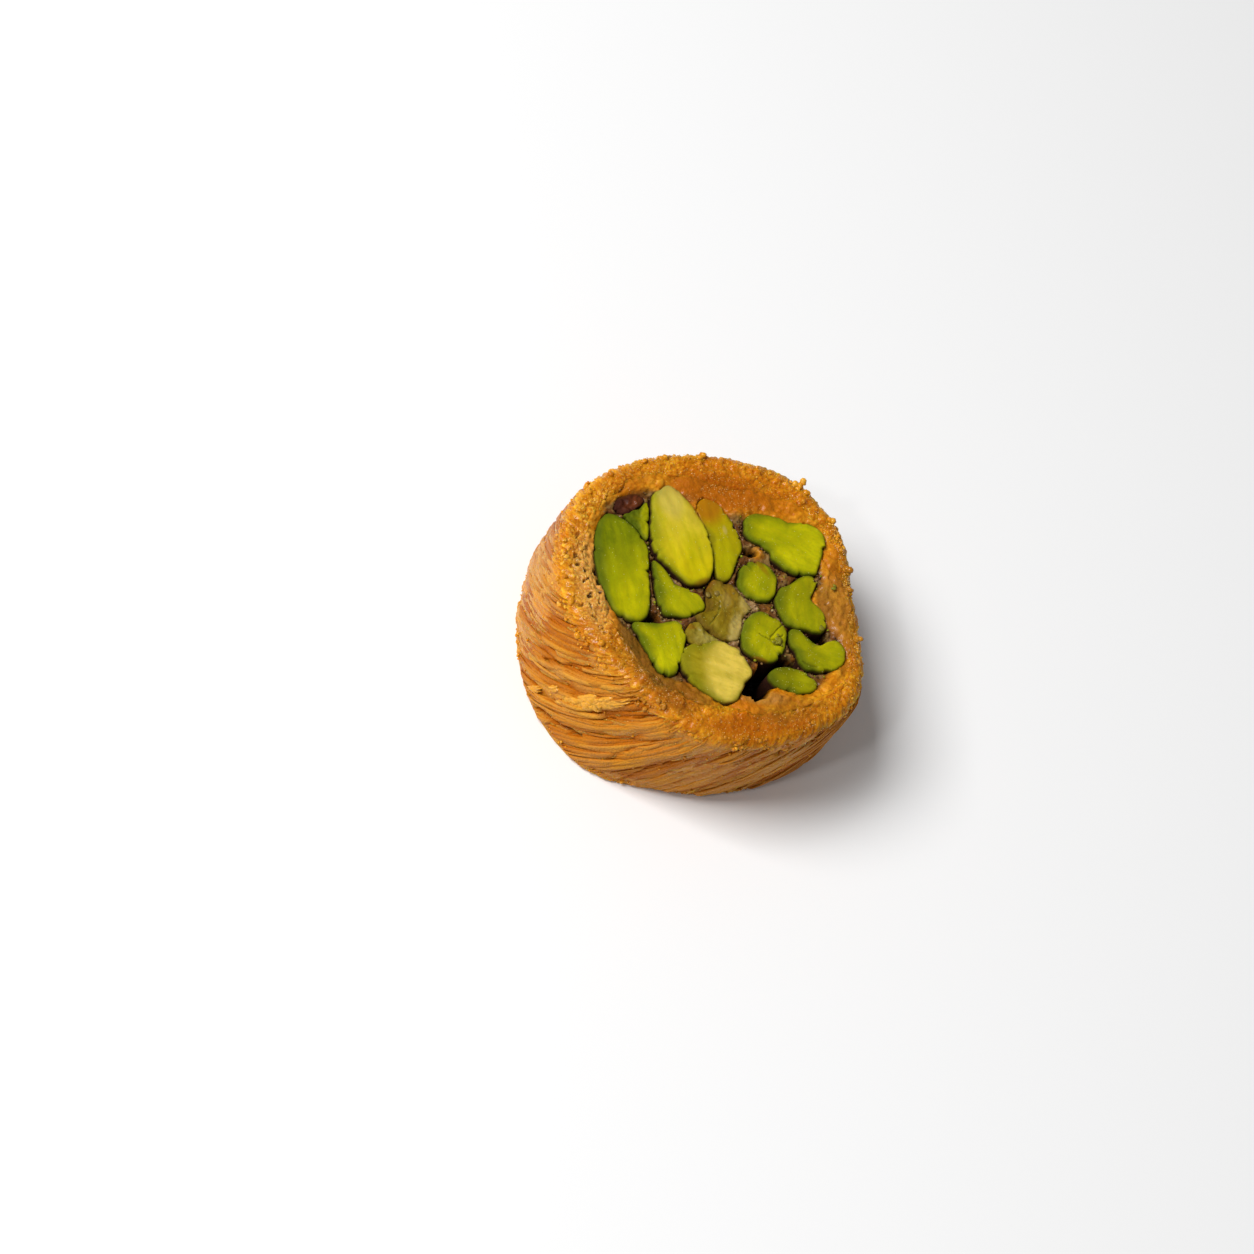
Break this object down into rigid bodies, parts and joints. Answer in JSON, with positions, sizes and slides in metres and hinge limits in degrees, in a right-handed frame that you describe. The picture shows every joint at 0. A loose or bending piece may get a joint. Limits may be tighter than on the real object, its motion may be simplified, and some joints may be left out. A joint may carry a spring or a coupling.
{
  "type": "rolled pistachio kunafa",
  "caption": "Slice of a rolled kunafa: a thick ring of twisted baked pastry strands packed with a sticky filling and green pistachio kernels that show at both cut faces.",
  "frame": {"origin": "middle of the slice's footprint, on the surface that it lies on", "axes": "+Z along the roll's own axis, up through the shown cut face; +X to the right and +Y away when the slice is seen from the shown side"},
  "size_m": [0.0466, 0.0466, 0.0184],
  "materials": {
    "pastry": "baked golden strands, soaked with syrup, crumbly at the cut",
    "filling": "sticky wet crumb",
    "kernel_green": "moist cut pistachio",
    "kernel_deep_green": "moist pistachio",
    "kernel_pale": "moist pale pistachio",
    "kernel_olive": "pistachio under syrup",
    "kernel_skin": "kernel's brown skin"
  },
  "bodies": {
    "root": {"kataifi_roll": "pastry", "nut_filling": "filling", "pistachio_long_left": "kernel_deep_green", "pistachio_pale_big": "kernel_pale", "pistachio_olive": "kernel_olive", "pistachio_top_bean": "kernel_green", "pistachio_round_mid": "kernel_green", "pistachio_bent_low": "kernel_green", "pistachio_hook_right": "kernel_green", "pistachio_hook_low": "kernel_green", "pistachio_cracked": "kernel_green", "pistachio_wedge": "kernel_green", "pistachio_pale_cut": "kernel_pale", "pistachio_small_low": "kernel_green", "pistachio_crushed": "kernel_olive", "pistachio_skin_end": "kernel_skin", "pistachio_dark_chip": "kernel_deep_green", "pistachio_pale_chip": "kernel_pale", "pistachio_foot_right": "kernel_green", "pistachio_foot_far": "kernel_pale", "pistachio_foot_far_left": "kernel_green", "pistachio_foot_left_back": "kernel_green", "pistachio_foot_left": "kernel_green", "pistachio_foot_left_front": "kernel_deep_green", "pistachio_foot_front": "kernel_green", "pistachio_foot_right_front": "kernel_green", "pistachio_foot_mid_back": "kernel_green", "pistachio_foot_mid_left": "kernel_pale", "pistachio_foot_mid_front": "kernel_green", "pistachio_foot_mid_right": "kernel_green"}
  },
  "joints": []
}
